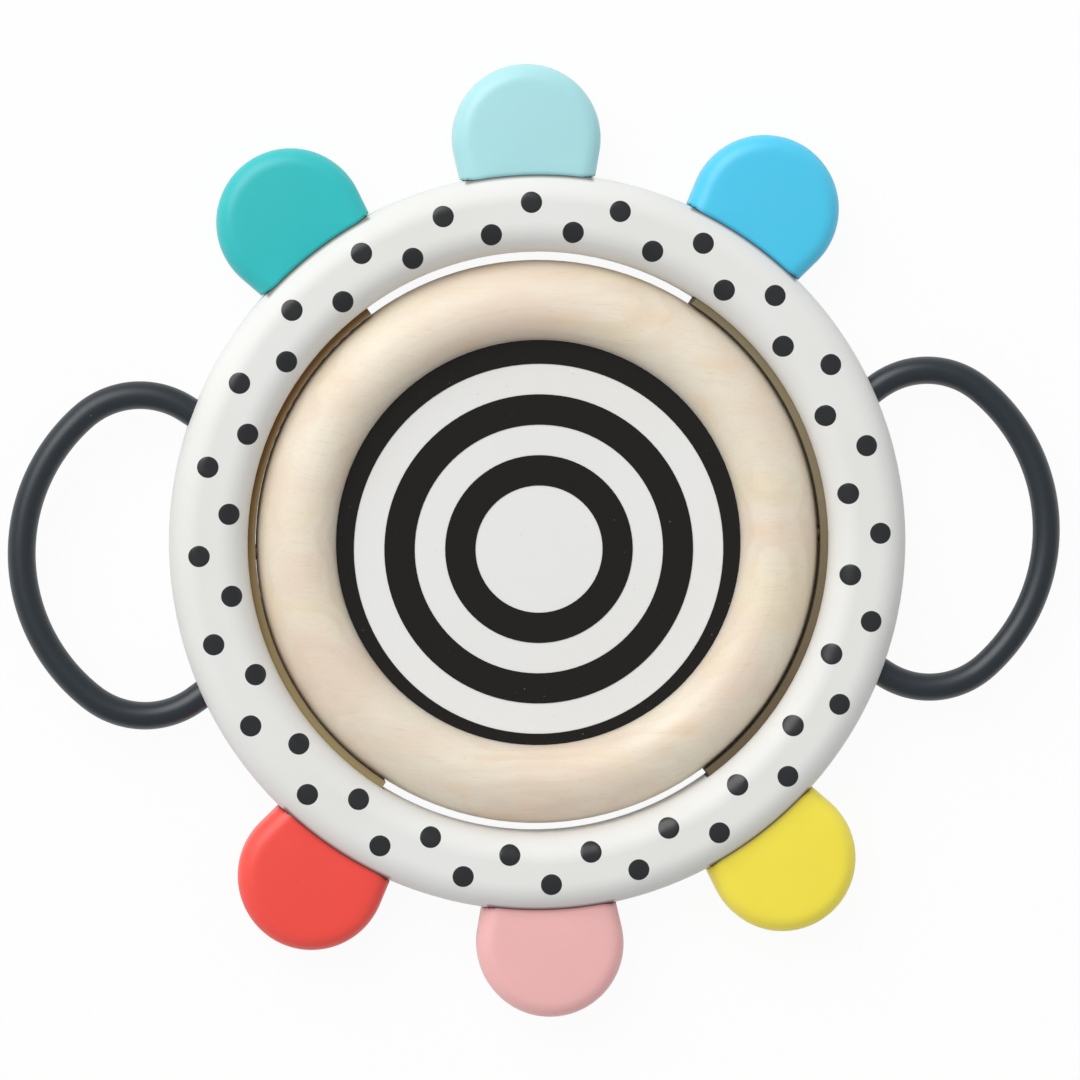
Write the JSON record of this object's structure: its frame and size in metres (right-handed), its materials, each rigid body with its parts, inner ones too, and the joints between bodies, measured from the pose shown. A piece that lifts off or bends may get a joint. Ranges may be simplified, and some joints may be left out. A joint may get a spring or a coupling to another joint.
{
  "type": "baby mirror teether",
  "caption": "Flat ring-shaped baby toy with soft chew tabs, side grab loops and a wooden centre that flips over between a bullseye disc and a safety mirror.",
  "frame": {"origin": "centre of the ring, on the plane that the toy lies on", "axes": "+Z out of the bullseye face, +X towards the right grab loop along the flip axis, +Y towards the pale aqua tab"},
  "size_m": [0.1792, 0.162, 0.015],
  "materials": {
    "ring_plastic": "smooth satin-gloss white",
    "dot_ink": "charcoal print with a soft sheen",
    "teal_silicone": "soft matte silicone",
    "aqua_silicone": "soft matte silicone",
    "blue_silicone": "soft matte silicone",
    "yellow_silicone": "soft matte silicone",
    "pink_silicone": "soft matte silicone",
    "red_silicone": "soft matte silicone",
    "loop_silicone": "satin black silicone",
    "pale_wood": "fine sanded, unvarnished",
    "print_white": "gloss",
    "print_black": "gloss",
    "mirror_face": "polished acrylic mirror",
    "pin_steel": "drawn rod"
  },
  "bodies": {
    "ring": {"front_ring_shell": "ring_plastic", "rear_ring_shell": "ring_plastic", "front_dots": "dot_ink", "rear_dots": "dot_ink", "teal_tab": "teal_silicone", "aqua_tab": "aqua_silicone", "blue_tab": "blue_silicone", "yellow_tab": "yellow_silicone", "pink_tab": "pink_silicone", "red_tab": "red_silicone", "left_loop_roots": "loop_silicone", "right_loop_roots": "loop_silicone"},
    "centre": {"front_wood_ring": "pale_wood", "rear_wood_ring": "pale_wood", "bullseye_disc": "print_white", "bullseye_bands": "print_black", "mirror_disc": "mirror_face", "left_pivot_pin": "pin_steel", "right_pivot_pin": "pin_steel"},
    "left_grab_loop": {"left_loop": "loop_silicone"},
    "right_grab_loop": {"right_loop": "loop_silicone"}
  },
  "joints": [
    {"name": "centre_flip", "type": "hinge", "parent": "ring", "child": "centre", "pos_m": [0, 0, 0.0075], "axis": [1, 0, 0], "continuous": true},
    {"name": "left_loop_bend", "type": "hinge", "parent": "ring", "child": "left_grab_loop", "pos_m": [-0.0605, 0, 0.0075], "axis": [0, 1, 0], "range_deg": [-40, 40], "stiffness_Nm_per_rad": 0.013, "deforming": ["left_loop_roots"]},
    {"name": "right_loop_bend", "type": "hinge", "parent": "ring", "child": "right_grab_loop", "pos_m": [0.0605, 0, 0.0075], "axis": [0, -1, 0], "range_deg": [-40, 40], "stiffness_Nm_per_rad": 0.013, "deforming": ["right_loop_roots"]}
  ]
}
